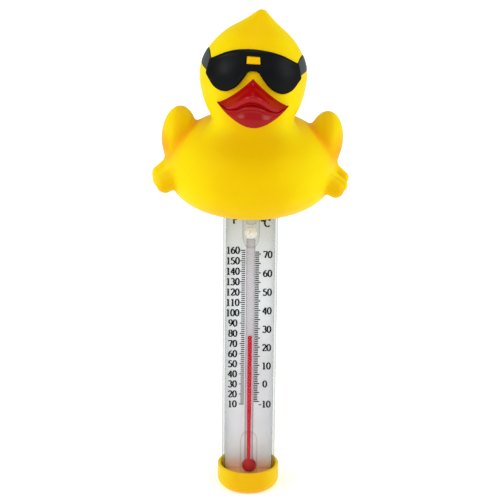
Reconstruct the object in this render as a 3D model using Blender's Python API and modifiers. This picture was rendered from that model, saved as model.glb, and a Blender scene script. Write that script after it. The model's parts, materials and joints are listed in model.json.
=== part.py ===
"""Floating pool thermometer: a hollow duck float on a clear tube that holds a spirit thermometer.

Metres, +Z up. The origin is the centre of the bottom cap's flat base, on the tube's axis.
The duck and the scale card face -Y.
"""

import math

import bmesh
import bpy
import numpy as np
from mathutils import Euler, Matrix, Vector

MM = 0.001
GAP = 0.3 * MM
MERGE = 0.01 * MM
ROUND_STEPS = 40
SMALL_STEPS = 24

# Clear tube and bottom cap
TUBE_R = 12.7 * MM
TUBE_WALL = 1.2 * MM
TUBE_LOW = 4.6 * MM
TUBE_HIGH = 165.0 * MM
TUBE_BORE = TUBE_R - TUBE_WALL
FIT = 0.35 * MM
CAP_R = 14.65 * MM
CAP_HEIGHT = 11.7 * MM
CAP_EDGE = 4.5 * MM
CAP_FLOOR = 1.5 * MM
CAP_LEDGE = 3.0 * MM
CAP_WELL_R = 9.8 * MM
SEAL_INNER_R = 10.6 * MM

# Scale and glass thermometer
LOW_MARK_Z = 41.0 * MM
HIGH_MARK_Z = 118.0 * MM
REST_LEVEL_Z = 77.3 * MM
GLASS_Y = -3.3 * MM
BULB_Z = 11.2 * MM
BULB_R = 3.3 * MM
STEM_R = 2.05 * MM
STEM_TOP = 125.0 * MM
GLASS_WALL = 0.45 * MM
BORE_R = 1.1 * MM
THREAD_R = 0.8 * MM
MENISCUS_HEIGHT = 0.9 * MM
CARD_HALF = 11.15 * MM
CARD_THICK = 0.4 * MM
CARD_Y = 1.4 * MM
CARD_LOW = 7.9 * MM
CARD_HIGH = 148.0 * MM

# Duck
BODY_AT = Vector((0.0, 2.0, 159.9)) * MM
BODY_SEMI = Vector((39.0, 38.0, 24.4)) * MM
HEAD_AT = Vector((0.4, -6.0, 202.0)) * MM
HEAD_SEMI = Vector((24.0, 23.7, 22.2)) * MM
NECK_AT = Vector((0.6, -5.0, 190.0)) * MM
NECK_SEMI = Vector((19.4, 19.6, 15.0)) * MM
TAIL_AT = Vector((0.0, 33.0, 168.0)) * MM
TAIL_SEMI = Vector((13.0, 16.0, 7.0)) * MM
WING_SEMI = Vector((8.2, 12.2, 14.0)) * MM
# Tapered forms, in millimetres: (start, end, start radius, end radius)
CREST = ((1.2, -6.0, 208.8), (3.7, -5.0, 228.3), 18.0, 3.4)
TOES = (
    ((34.5, 0.0, 159.5), (41.4, -1.0, 152.8), 3.3, 3.2),
    ((32.5, -4.0, 157.8), (40.2, -5.0, 151.2), 3.5, 3.2),
    ((28.5, -7.5, 156.3), (37.8, -9.5, 151.0), 4.8, 4.0),
)
# Each side, in millimetres and degrees: its direction, wing centre, wing lean, foot's shift out and up
SIDES = (
    (-1, (-33.1, 4.0, 171.7), 0.0, (1.2, 1.3)),
    (1, (33.8, 4.0, 169.7), 5.0, (0.0, 0.0)),
)
BELLY_HOLE_R = TUBE_R + FIT
SHELL = 1.8 * MM
SOCKET_R = 15.0 * MM
SOCKET_LOW = 140.3 * MM
SOCKET_ROOF = 169.4 * MM
GLASSES_RELIEF = 1.9 * MM
PLATE_RELIEF = 2.7 * MM

YELLOW = (0.87, 0.62, 0.01, 1.0)
CAP_YELLOW = (0.85, 0.52, 0.01, 1.0)
BLACK = (0.012, 0.012, 0.014, 1.0)
RED = (0.42, 0.008, 0.012, 1.0)
SPIRIT = (0.62, 0.01, 0.02, 1.0)
CLEAR = (0.9, 0.92, 0.92, 0.25)
CARD_WHITE = (0.72, 0.74, 0.75, 1.0)
MILKY = (0.85, 0.85, 0.8, 0.6)
STEEL = (0.45, 0.45, 0.46, 1.0)
FOAM = (0.8, 0.8, 0.78, 1.0)
SEAL_BLACK = (0.03, 0.03, 0.03, 1.0)


def collection(name):
    found = bpy.data.collections.new(name)
    bpy.context.scene.collection.children.link(found)
    return found


def material(name, colour, roughness=0.5, metallic=0.0):
    made = bpy.data.materials.new(name)
    made.use_nodes = True
    shader = made.node_tree.nodes["Principled BSDF"]
    shader.inputs["Base Color"].default_value = colour
    shader.inputs["Roughness"].default_value = roughness
    shader.inputs["Metallic"].default_value = metallic
    shader.inputs["Alpha"].default_value = colour[3]
    made.diffuse_color = colour
    return made


def paint(obj, *look):
    obj.data.materials.clear()
    obj.data.materials.append(material(obj.name, *look))
    return obj


def from_bmesh(name, bm, where):
    mesh = bpy.data.meshes.new(name)
    bm.to_mesh(mesh)
    bm.free()
    obj = bpy.data.objects.new(name, mesh)
    where.objects.link(obj)
    return obj


def spun(obj, steps, at):
    """A flat profile turned about Z."""
    obj.location = at
    screw = obj.modifiers.new("turn", "SCREW")
    screw.axis = "Z"
    screw.steps = steps
    screw.render_steps = steps
    screw.use_merge_vertices = True
    screw.merge_threshold = MERGE
    screw.use_smooth_shade = True
    return obj


def turned(name, profile, where, steps=ROUND_STEPS, at=(0.0, 0.0, 0.0)):
    """A profile of (radius, height) pairs, top to bottom down its outer side, turned about Z.

    A profile that starts and ends on the axis is a full body; any other is closed into a ring.
    """
    bm = bmesh.new()
    points = [bm.verts.new((r, 0.0, z)) for r, z in profile]
    for a, b in zip(points, points[1:]):
        bm.edges.new((a, b))
    if profile[0][0] > 0.0:
        bm.edges.new((points[-1], points[0]))
    return spun(from_bmesh(name, bm, where), steps, at)


def full_turn(name, profile, where, steps=ROUND_STEPS, at=(0.0, 0.0, 0.0)):
    """A body whose closed profile meets the axis part way, such as a cup: its ends are the same point."""
    bm = bmesh.new()
    points = [bm.verts.new((r, 0.0, z)) for r, z in profile[:-1]]
    on_axis = [i for i, (r, _) in enumerate(profile[:-1]) if r == 0.0]
    for i, a in enumerate(points):
        j = (i + 1) % len(points)
        if not (i in on_axis and j in on_axis):
            bm.edges.new((a, points[j]))
    return spun(from_bmesh(name, bm, where), steps, at)


def arc(centre_r, centre_z, radius, start, end, count):
    """Points (radius, height) on an arc, angles in degrees from +R towards +Z."""
    angles = [math.radians(start + (end - start) * i / count) for i in range(count + 1)]
    return [(centre_r + radius * math.cos(a), centre_z + radius * math.sin(a)) for a in angles]


def box(name, low, high, where):
    bm = bmesh.new()
    size = Vector(high) - Vector(low)
    middle = (Vector(high) + Vector(low)) / 2
    bmesh.ops.create_cube(bm, size=1.0, matrix=Matrix.Translation(middle) @ Matrix.Diagonal(size).to_4x4())
    return from_bmesh(name, bm, where)


def as_mesh(obj, name, where):
    """A plain mesh object with obj's modifiers worked in, in world coordinates."""
    bpy.context.view_layer.update()
    shape = obj.evaluated_get(bpy.context.evaluated_depsgraph_get())
    mesh = bpy.data.meshes.new_from_object(shape)
    mesh.transform(obj.matrix_world)
    made = bpy.data.objects.new(name, mesh)
    where.objects.link(made)
    return made


def boolean(obj, tool, operation):
    cut = obj.modifiers.new(operation.lower(), "BOOLEAN")
    cut.operation = operation
    cut.object = tool
    return obj


def hide_tool(obj):
    obj.hide_render = True
    obj.display_type = "WIRE"
    return obj


# Tube, cap and what lies between them


def make_tube(parts):
    profile = [(TUBE_R, TUBE_HIGH), (TUBE_R, TUBE_LOW), (TUBE_BORE, TUBE_LOW), (TUBE_BORE, TUBE_HIGH)]
    return paint(turned("clear_tube", profile, parts), CLEAR, 0.05)


def make_cap(parts):
    inner = TUBE_R + FIT
    lip = 0.5 * MM
    profile = [(inner + lip, CAP_HEIGHT)]
    profile += [(CAP_R - lip, CAP_HEIGHT), (CAP_R, CAP_HEIGHT - lip)]
    profile += arc(CAP_R - CAP_EDGE, CAP_EDGE, CAP_EDGE, 0, -90, 6)
    profile += [(0.0, 0.0), (0.0, CAP_FLOOR), (CAP_WELL_R, CAP_FLOOR), (CAP_WELL_R, CAP_LEDGE)]
    profile += [(inner, CAP_LEDGE), (inner, CAP_HEIGHT - lip), (inner + lip, CAP_HEIGHT)]
    return paint(full_turn("bottom_cap", profile, parts), CAP_YELLOW, 0.3)


def make_cap_insides(parts):
    seal_low = CAP_LEDGE + GAP
    seal_high = TUBE_LOW - GAP
    seal_outer = TUBE_R - 0.1 * MM
    seal = [(seal_outer, seal_high), (seal_outer, seal_low), (SEAL_INNER_R, seal_low), (SEAL_INNER_R, seal_high)]
    paint(turned("cap_seal_ring", seal, parts), SEAL_BLACK, 0.7)
    slug_r = CAP_WELL_R - GAP
    slug_top = 6.2 * MM
    slug_low = CAP_FLOOR + GAP
    slug = [(0.0, slug_top), (slug_r - 0.6 * MM, slug_top), (slug_r, slug_top - 0.6 * MM)]
    slug += [(slug_r, slug_low + 0.6 * MM), (slug_r - 0.6 * MM, slug_low), (0.0, slug_low)]
    paint(turned("ballast_slug", slug, parts), STEEL, 0.35, 1.0)
    pad_r = TUBE_BORE - 0.5 * MM
    pad_low = slug_top + GAP
    pad_high = CARD_LOW - GAP
    pad = [(0.0, pad_high), (pad_r, pad_high), (pad_r, pad_low), (0.0, pad_low)]
    paint(turned("foam_pad", pad, parts), FOAM, 0.9)


def make_tube_top(parts):
    r = TUBE_BORE - GAP
    foam_low = CARD_HIGH + GAP
    foam_high = 156.0 * MM
    foam = [(0.0, foam_high), (r, foam_high), (r, foam_low), (0.0, foam_low)]
    paint(turned("foam_plug", foam, parts), FOAM, 0.9)
    body_low = foam_high + GAP
    flange_low = TUBE_HIGH + GAP
    flange_high = flange_low + 1.7 * MM
    cup = body_low + 1.5 * MM
    hollow_r = r - 1.5 * MM
    plug = [(hollow_r, flange_high), (TUBE_R - 0.2 * MM, flange_high), (TUBE_R - 0.2 * MM, flange_low)]
    plug += [(r, flange_low), (r, body_low), (0.0, body_low), (0.0, cup), (hollow_r, cup), (hollow_r, flange_high)]
    paint(full_turn("top_plug", plug, parts), CAP_YELLOW, 0.4)


# Card and glass thermometer


def make_card(parts):
    low = (-CARD_HALF, CARD_Y - CARD_THICK / 2, CARD_LOW)
    high = (CARD_HALF, CARD_Y + CARD_THICK / 2, CARD_HIGH)
    return paint(box("scale_card", low, high, parts), CARD_WHITE, 0.6)


def make_glass(parts):
    at = (0.0, GLASS_Y, 0.0)
    cavity_r = BULB_R - GLASS_WALL
    join = math.degrees(math.asin(STEM_R / BULB_R))
    open_at = math.degrees(math.asin(BORE_R / cavity_r))
    outer = [(STEM_R, STEM_TOP)] + arc(0.0, BULB_Z, BULB_R, 90 - join, -90, 12)
    outer[-1] = (0.0, outer[-1][1])
    inner = arc(0.0, BULB_Z, cavity_r, -90, 90 - open_at, 12)
    inner[0] = (0.0, inner[0][1])
    profile = outer + inner + [(BORE_R, STEM_TOP), (STEM_R, STEM_TOP)]
    return paint(full_turn("thermometer_glass", profile, parts, SMALL_STEPS, at), CLEAR, 0.02)


def make_spirit(parts):
    at = (0.0, GLASS_Y, 0.0)
    fill_r = BULB_R - GLASS_WALL - GAP
    neck = math.degrees(math.asin(THREAD_R / fill_r))
    low_thread_top = LOW_MARK_Z - MENISCUS_HEIGHT - GAP
    fill = [(0.0, low_thread_top), (THREAD_R, low_thread_top)]
    fill += arc(0.0, BULB_Z, fill_r, 90 - neck, -90, 10)
    fill[-1] = (0.0, fill[-1][1])
    paint(turned("spirit_fill", fill, parts, SMALL_STEPS, at), SPIRIT, 0.2)
    column_low = low_thread_top + GAP
    slug_low = REST_LEVEL_Z - MENISCUS_HEIGHT
    column_high = slug_low - GAP
    column = [(0.0, column_high), (THREAD_R, column_high), (THREAD_R, column_low), (0.0, column_low)]
    paint(turned("spirit_column", column, parts, SMALL_STEPS, at), SPIRIT, 0.2)
    edge = REST_LEVEL_Z - 0.25 * MM
    slug = [(0.0, REST_LEVEL_Z), (0.6 * THREAD_R, REST_LEVEL_Z - 0.06 * MM), (THREAD_R, edge)]
    slug += [(THREAD_R, slug_low), (0.0, slug_low)]
    paint(turned("spirit_meniscus", slug, parts, SMALL_STEPS, at), SPIRIT, 0.2)
    bead_low = STEM_TOP + GAP
    bead = [(0.0, 130.8), (1.6, 130.3), (2.6, 128.8), (2.8, 127.6), (2.6, 126.4)]
    bead = [(r * MM, z * MM) for r, z in bead] + [(1.7 * MM, bead_low), (0.0, bead_low)]
    paint(turned("stem_tip_seal", bead, parts, SMALL_STEPS, at), MILKY, 0.4)


def make_sleeves(parts):
    at = (0.0, GLASS_Y, 0.0)
    grip = STEM_R + GAP
    low = [(grip, 27.9 * MM), (2.5 * MM, 27.9 * MM), (3.6 * MM, 26.2 * MM), (4.15 * MM, 23.4 * MM)]
    low += [(4.15 * MM, CARD_LOW), (3.65 * MM, CARD_LOW), (3.65 * MM, 23.2 * MM), (3.1 * MM, 25.7 * MM)]
    paint(turned("lower_sleeve", low, parts, SMALL_STEPS, at), CLEAR, 0.1)
    top = CARD_HIGH - GAP
    high = [(3.5 * MM, top), (4.0 * MM, top), (4.0 * MM, 126.0 * MM), (2.5 * MM, 121.0 * MM)]
    high += [(grip, 121.0 * MM), (3.2 * MM, 125.2 * MM), (3.5 * MM, 126.2 * MM)]
    paint(turned("upper_sleeve", high, parts, SMALL_STEPS, at), CLEAR, 0.1)


# Duck


def add_blob(bm, at, semi, turn=(0.0, 0.0, 0.0)):
    """One ellipsoid, turned by degrees about X, Y and Z."""
    spin = Euler([math.radians(a) for a in turn]).to_matrix().to_4x4()
    matrix = Matrix.Translation(at) @ spin @ Matrix.Diagonal(semi).to_4x4()
    bmesh.ops.create_uvsphere(bm, u_segments=32, v_segments=20, radius=1.0, matrix=matrix)


def mm(*values):
    return Vector(values) * MM


def add_taper(bm, start, end, start_r, end_r, steps):
    """A tapered form with round ends, as a row of balls."""
    for i in range(steps + 1):
        t = i / steps
        at = Vector(start).lerp(Vector(end), t) * MM
        r = (start_r + (end_r - start_r) * t) * MM
        add_blob(bm, at, Vector((r, r, r)))


def add_side(bm, side, wing_at, lean, shift):
    """The upright wing and the three toes of the foot below it."""
    add_blob(bm, mm(*wing_at), WING_SEMI, (-8.0, lean, 0.0))
    out, up = shift
    for start, end, start_r, end_r in TOES:
        ends = [((x + out) * side, y, z + up) for x, y, z in (start, end)]
        add_taper(bm, *ends, start_r, end_r, 5)


def make_duck_form(tools):
    bm = bmesh.new()
    add_blob(bm, BODY_AT, BODY_SEMI)
    add_blob(bm, TAIL_AT, TAIL_SEMI, (32.0, 0.0, 0.0))
    add_blob(bm, HEAD_AT, HEAD_SEMI)
    add_blob(bm, NECK_AT, NECK_SEMI)
    add_taper(bm, *CREST, 12)
    for side in SIDES:
        add_side(bm, *side)
    form = from_bmesh("duck_blobs", bm, tools)
    remesh = form.modifiers.new("union", "REMESH")
    remesh.mode = "VOXEL"
    remesh.voxel_size = 1.3 * MM
    smooth = form.modifiers.new("soften", "SMOOTH")
    smooth.factor = 0.5
    smooth.iterations = 8
    thin = form.modifiers.new("thin", "DECIMATE")
    thin.ratio = 0.085
    made = as_mesh(form, "duck_form", tools)
    bpy.data.objects.remove(form)
    return made


def grown(form, name, amount, tools):
    """A copy of the duck's outside, moved out along its normals."""
    copy = bpy.data.objects.new(name, form.data.copy())
    tools.objects.link(copy)
    push = copy.modifiers.new("grow", "DISPLACE")
    push.strength = amount
    push.mid_level = 0.0
    made = as_mesh(copy, name + "_mesh", tools)
    bpy.data.objects.remove(copy)
    return hide_tool(made)


def make_cavity(tools):
    bm = bmesh.new()
    wall = Vector((SHELL, SHELL, SHELL))
    add_blob(bm, BODY_AT, BODY_SEMI - wall)
    add_blob(bm, HEAD_AT, HEAD_SEMI - 1.3 * wall)
    add_blob(bm, NECK_AT, NECK_SEMI - wall)
    form = from_bmesh("cavity_blobs", bm, tools)
    remesh = form.modifiers.new("union", "REMESH")
    remesh.mode = "VOXEL"
    remesh.voxel_size = 2.0 * MM
    smooth = form.modifiers.new("soften", "SMOOTH")
    smooth.factor = 0.5
    smooth.iterations = 4
    thin = form.modifiers.new("thin", "DECIMATE")
    thin.ratio = 0.12
    made = as_mesh(form, "duck_cavity", tools)
    bpy.data.objects.remove(form)
    return hide_tool(made)


def cylinder(name, radius, low, high, where, steps=ROUND_STEPS):
    bm = bmesh.new()
    bmesh.ops.create_cone(
        bm,
        cap_ends=True,
        segments=steps,
        radius1=radius,
        radius2=radius,
        depth=high - low,
        matrix=Matrix.Translation((0.0, 0.0, (low + high) / 2)),
    )
    return from_bmesh(name, bm, where)


def vent_frame():
    """Where the vent plug sits: on the belly behind the tube, square to the surface."""
    angle = math.radians(32.0)
    y = BODY_SEMI.y * math.sin(angle)
    z = -BODY_SEMI.z * math.cos(angle)
    normal = Vector((0.0, y / BODY_SEMI.y**2, z / BODY_SEMI.z**2)).normalized()
    at = BODY_AT + Vector((0.0, y, z))
    return Matrix.Translation(at) @ normal.to_track_quat("Z", "Y").to_matrix().to_4x4()


def make_vent(parts, tools):
    pin_r = 1.8 * MM
    head_r = 3.2 * MM
    head_low = -0.6 * MM
    plug = [(0.0, 0.5 * MM), (head_r - 0.4 * MM, 0.5 * MM), (head_r, 0.1 * MM), (head_r, head_low)]
    plug += [(pin_r, head_low), (pin_r, -3.6 * MM), (0.0, -3.6 * MM)]
    vent = paint(turned("vent_plug", plug, parts, SMALL_STEPS), YELLOW, 0.4)
    vent.matrix_world = vent_frame()
    bore = [(0.0, 3.0 * MM), (head_r + GAP, 3.0 * MM), (head_r + GAP, head_low - GAP)]
    bore += [(pin_r + GAP, head_low - GAP), (pin_r + GAP, -6.0 * MM), (0.0, -6.0 * MM)]
    tool = turned("vent_bore", bore, tools, SMALL_STEPS)
    tool.matrix_world = vent_frame()
    return hide_tool(tool)


def make_socket(parts):
    inner = TUBE_R + FIT
    roof_low = SOCKET_ROOF - 1.5 * MM
    profile = [(0.0, SOCKET_ROOF), (SOCKET_R, SOCKET_ROOF), (SOCKET_R, SOCKET_LOW), (inner, SOCKET_LOW)]
    profile += [(inner, roof_low), (0.0, roof_low)]
    return paint(turned("socket_sleeve", profile, parts), CAP_YELLOW, 0.4)


def make_duck_shell(parts, tools, form, extra_tools):
    shell = bpy.data.objects.new("duck_shell", form.data.copy())
    parts.objects.link(shell)
    boolean(shell, make_cavity(tools), "DIFFERENCE")
    hole = hide_tool(cylinder("belly_hole", BELLY_HOLE_R, 120.0 * MM, 150.0 * MM, tools))
    boolean(shell, hole, "DIFFERENCE")
    for tool in extra_tools:
        boolean(shell, tool, "DIFFERENCE")
    shell.data.shade_smooth()
    return paint(shell, YELLOW, 0.35)


# Face


def outline_solid(name, points, depth, y, where):
    """A closed smooth outline of (x, z) points, extruded along Y."""
    curve = bpy.data.curves.new(name, "CURVE")
    curve.dimensions = "2D"
    curve.fill_mode = "BOTH"
    curve.extrude = depth / 2
    curve.resolution_u = 4
    spline = curve.splines.new("BEZIER")
    spline.bezier_points.add(len(points) - 1)
    for point, (x, z) in zip(spline.bezier_points, points):
        point.co = (x, z, 0.0)
        point.handle_left_type = "AUTO"
        point.handle_right_type = "AUTO"
    spline.use_cyclic_u = True
    flat = bpy.data.objects.new(name + "_outline", curve)
    where.objects.link(flat)
    flat.matrix_world = Matrix.Translation((0.0, y, 0.0)) @ Matrix.Rotation(math.radians(90.0), 4, "X")
    made = as_mesh(flat, name, where)
    bpy.data.objects.remove(flat)
    bm = bmesh.new()
    bm.from_mesh(made.data)
    bmesh.ops.remove_doubles(bm, verts=bm.verts, dist=MERGE)
    bmesh.ops.recalc_face_normals(bm, faces=bm.faces)
    bm.to_mesh(made.data)
    bm.free()
    return made


def glasses_points():
    """The front outline of the sunglasses: (x, z), the right half and its mirror."""
    half = [(0.0, 217.2), (8.0, 216.8), (14.0, 215.2), (19.0, 212.2), (21.6, 213.6), (25.8, 214.4)]
    half += [(25.8, 205.8), (21.6, 205.4), (19.4, 201.4), (16.4, 198.4), (12.8, 197.4), (9.2, 198.6)]
    half += [(6.0, 202.0), (3.2, 206.0), (0.0, 207.4)]
    mirror = [(-x, z) for x, z in reversed(half[1:-1])]
    return [((x + HEAD_AT.x / MM) * MM, z * MM) for x, z in half + mirror]


def make_glasses(parts, tools, form, proud):
    slab = outline_solid("sunglasses", glasses_points(), 30.0 * MM, -22.0 * MM, parts)
    boolean(slab, grown(form, "glasses_skin", GLASSES_RELIEF, tools), "INTERSECT")
    boolean(slab, proud, "DIFFERENCE")
    low = mm(-2.9 + 0.4, -45.0, 210.9)
    high = mm(3.1 + 0.4, -15.0, 214.7)
    plate = box("bridge_plate", low, high, parts)
    boolean(plate, grown(form, "plate_skin", PLATE_RELIEF, tools), "INTERSECT")
    boolean(plate, proud, "DIFFERENCE")
    room = Vector((GAP, GAP, GAP))
    boolean(slab, hide_tool(box("plate_room", low - room, high + room, tools)), "DIFFERENCE")
    paint(plate, YELLOW, 0.35)
    return paint(slab, BLACK, 0.12)


BILL_HALF = 15.6 * MM
BILL_ROUND = 0.8 * MM
BILL_CORNER = Vector((0.4, -19.0, 193.2)) * MM
# The bill's middle section in millimetres, (y, z) from the root above, round the lip, to the root below
BILL_SECTION = (
    (-20.0, 206.4),
    (-30.5, 205.2),
    (-37.0, 202.9),
    (-42.0, 201.6),
    (-43.4, 200.6),
    (-42.8, 199.0),
    (-40.6, 196.6),
    (-39.6, 192.6),
    (-40.2, 188.4),
    (-40.6, 186.6),
    (-39.0, 185.0),
    (-34.0, 184.2),
    (-20.0, 184.4),
)


def bill_ring(x):
    """The bill's section at x, shrinking towards the corner of the mouth."""
    side = (math.hypot(x, BILL_ROUND) - BILL_ROUND) / (BILL_HALF - BILL_ROUND)
    above = max(0.0, 1.0 - side) ** 1.35
    below = max(0.0, 1.0 - side**1.8)
    out = 0.75 * math.sqrt(max(0.0, 1.0 - side**2)) + 0.25 * above
    ring = []
    for y, z in BILL_SECTION:
        dy = (y * MM - BILL_CORNER.y) * out
        dz = z * MM - BILL_CORNER.z
        dz *= above if dz > 0.0 else below
        ring.append((BILL_CORNER.x + x, BILL_CORNER.y + dy, BILL_CORNER.z + dz))
    return ring


def make_bill(parts, proud):
    """A loft across the mouth, closed behind, then trimmed by the face."""
    bm = bmesh.new()
    stations = np.linspace(-1.0, 1.0, 17) * 0.97 * BILL_HALF
    rings = [[bm.verts.new(p) for p in bill_ring(x)] for x in stations]
    for a, b in zip(rings, rings[1:]):
        for i in range(len(a)):
            j = (i + 1) % len(a)
            bm.faces.new((a[i], a[j], b[j], b[i]))
    bm.faces.new(rings[0])
    bm.faces.new(list(reversed(rings[-1])))
    bmesh.ops.recalc_face_normals(bm, faces=bm.faces)
    bill = from_bmesh("bill", bm, parts)
    boolean(bill, proud, "DIFFERENCE")
    bill.data.shade_smooth()
    return paint(bill, RED, 0.15)


def parent_to(name, at, members, parts):
    """An empty on a joint's axis, which carries the moving pieces."""
    bpy.context.view_layer.update()
    empty = bpy.data.objects.new(name, None)
    empty.location = at
    parts.objects.link(empty)
    bpy.context.view_layer.update()
    for member in members:
        piece = bpy.data.objects[member]
        where = piece.matrix_world.copy()
        piece.parent = empty
        piece.matrix_parent_inverse = empty.matrix_world.inverted()
        piece.matrix_world = where


def main():
    for old in list(bpy.data.objects):
        bpy.data.objects.remove(old)
    parts = collection("floating_pool_thermometer")
    tools = collection("cutters")
    make_tube(parts)
    make_cap(parts)
    make_cap_insides(parts)
    make_tube_top(parts)
    make_card(parts)
    make_glass(parts)
    make_spirit(parts)
    make_sleeves(parts)
    make_socket(parts)
    form = make_duck_form(tools)
    proud = grown(form, "duck_proud", FIT, tools)
    make_duck_shell(parts, tools, form, [make_vent(parts, tools)])
    hide_tool(form)
    make_glasses(parts, tools, form, proud)
    make_bill(parts, proud)
    duck = ["duck_shell", "sunglasses", "bridge_plate", "bill", "socket_sleeve", "vent_plug"]
    parent_to("duck_swivel_axis", (0.0, 0.0, SOCKET_LOW), duck, parts)
    parent_to("cap_pull_axis", (0.0, 0.0, 0.0), ["bottom_cap", "cap_seal_ring", "ballast_slug"], parts)
    parent_to("spirit_level_axis", (0.0, GLASS_Y, REST_LEVEL_Z), ["spirit_meniscus"], parts)


main()
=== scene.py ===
"""Looks of the floating pool thermometer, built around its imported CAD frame.

Lengths in this file are millimetres unless a name says otherwise; meshes are scaled to metres as
they are made. The duck and the scale face -Y, and the origin is the centre of the cap's flat base.
"""

import json
import math

import bmesh
import bpy
import numpy as np
from mathutils import Matrix, Vector

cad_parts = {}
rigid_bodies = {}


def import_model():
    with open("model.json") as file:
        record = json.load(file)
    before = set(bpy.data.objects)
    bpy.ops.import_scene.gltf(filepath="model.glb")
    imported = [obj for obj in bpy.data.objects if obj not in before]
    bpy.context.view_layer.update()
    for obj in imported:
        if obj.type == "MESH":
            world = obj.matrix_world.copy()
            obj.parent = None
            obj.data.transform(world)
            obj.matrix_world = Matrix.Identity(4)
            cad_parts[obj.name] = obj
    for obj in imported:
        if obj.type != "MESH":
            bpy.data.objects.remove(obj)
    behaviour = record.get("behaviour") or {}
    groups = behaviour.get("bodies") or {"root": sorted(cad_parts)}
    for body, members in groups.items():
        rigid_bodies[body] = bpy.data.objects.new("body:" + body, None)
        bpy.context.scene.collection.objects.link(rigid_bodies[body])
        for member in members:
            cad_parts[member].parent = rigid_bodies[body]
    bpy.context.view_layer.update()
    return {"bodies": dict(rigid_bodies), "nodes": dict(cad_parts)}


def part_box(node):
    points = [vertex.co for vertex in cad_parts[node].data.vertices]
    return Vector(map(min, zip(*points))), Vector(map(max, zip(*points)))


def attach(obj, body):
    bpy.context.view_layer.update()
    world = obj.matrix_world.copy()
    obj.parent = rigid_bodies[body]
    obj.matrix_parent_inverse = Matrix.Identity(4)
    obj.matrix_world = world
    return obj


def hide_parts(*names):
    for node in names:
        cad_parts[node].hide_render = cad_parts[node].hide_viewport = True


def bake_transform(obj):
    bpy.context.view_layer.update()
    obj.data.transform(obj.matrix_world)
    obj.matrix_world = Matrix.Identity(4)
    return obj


MM = 0.001


def mm_box(node):
    """Lowest and highest corner of a CAD node."""
    low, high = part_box(node)
    return np.array(low) / MM, np.array(high) / MM


# Field tools: a field gives a signed distance for each row of points, negative inside


def ellipsoid(p, centre, semi, turn=None):
    """turn: rows are the ellipsoid's own axes, from basis()."""
    q = p - np.asarray(centre, float)
    if turn is not None:
        q = q @ turn.T
    semi = np.asarray(semi, float)
    near = np.linalg.norm(q / semi, axis=-1)
    slope = np.linalg.norm(q / semi**2, axis=-1)
    return near * (near - 1.0) / np.maximum(slope, 1e-9)


def round_cone(p, a, b, ra, rb):
    """Two balls and the cone that just touches both."""
    start, axis = np.asarray(a, float), np.asarray(b, float) - np.asarray(a, float)
    length = np.linalg.norm(axis)
    q = p - start
    along = q @ axis / length
    across = np.sqrt(np.maximum((q**2).sum(-1) - along**2, 0.0))
    sine = (ra - rb) / length
    cosine = math.sqrt(1.0 - sine * sine)
    foot = along - across * sine / cosine
    cone = across * cosine + along * sine - ra
    first = np.hypot(across, along) - ra
    second = np.hypot(across, along - length) - rb
    return np.where(foot < 0.0, first, np.where(foot > length, second, cone))


def barrel(p, centre, across, low, high, fullness):
    """An ellipsoid with its own heights below and above its centre; a fullness over 2 fills it out below."""
    q = p - np.asarray(centre, float)
    below = q[:, 2] < 0.0
    power = np.where(below, fullness, 2.0)
    tall = np.where(below, low, high)
    flat = np.maximum(np.hypot(q[:, 0] / across[0], q[:, 1] / across[1]), 1e-6)
    rise = np.maximum(np.abs(q[:, 2]) / tall, 1e-6)
    total = flat**power + rise**power
    near = total ** (1.0 / power)
    scale = total ** (1.0 / power - 1.0)
    side = np.hypot(q[:, 0] / across[0] ** 2, q[:, 1] / across[1] ** 2) / flat
    slope = scale * np.hypot(flat ** (power - 1.0) * side, rise ** (power - 1.0) / tall)
    return (near - 1.0) / np.maximum(slope, 1e-6)


def join(a, b, soft):
    """Union with a fillet about soft wide."""
    h = np.clip(0.5 + 0.5 * (b - a) / soft, 0.0, 1.0)
    return b * (1.0 - h) + a * h - soft * h * (1.0 - h)


def meet(a, b, soft):
    """What both fields share, with its edge rounded about soft wide."""
    return -join(-a, -b, soft)


def basis(x_deg, y_deg):
    """The axes of a form turned about X and then Y, one in each row."""
    turn = Matrix.Rotation(math.radians(y_deg), 3, "Y") @ Matrix.Rotation(math.radians(x_deg), 3, "X")
    return np.array(turn).T


def ease(t):
    """From 0 to 1 with a soft start and end."""
    t = np.clip(t, 0.0, 1.0)
    return t * t * (3.0 - 2.0 * t)


def between(value, start, end):
    """From 0 at start to 1 at end, softly."""
    return ease((value - start) / (end - start))


def slope_of(field, p, step=0.02):
    grad = np.empty_like(p)
    for axis in range(3):
        shift = np.zeros(3)
        shift[axis] = step
        grad[:, axis] = (field(p + shift) - field(p - shift)) / (2.0 * step)
    return grad


def settle(field, p, rounds=4, reach=0.6):
    """Moves points along the field's slope onto its zero surface."""
    for _ in range(rounds):
        grad = slope_of(field, p)
        size = np.maximum((grad**2).sum(1), 0.05)
        step = field(p)[:, None] * grad / size[:, None]
        length = np.linalg.norm(step, axis=1, keepdims=True)
        p = p - step * np.minimum(1.0, reach / np.maximum(length, 1e-9))
    return p


def relax(p, quads, share=0.5):
    """Moves each point towards the middle of its neighbours."""
    total = np.zeros_like(p)
    count = np.zeros(len(p))
    for a in range(4):
        near, far = quads[:, a], quads[:, (a + 1) % 4]
        for one, other in ((near, far), (far, near)):
            np.add.at(total, one, p[other])
            np.add.at(count, one, 1.0)
    return p + share * (total / count[:, None] - p)


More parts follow.
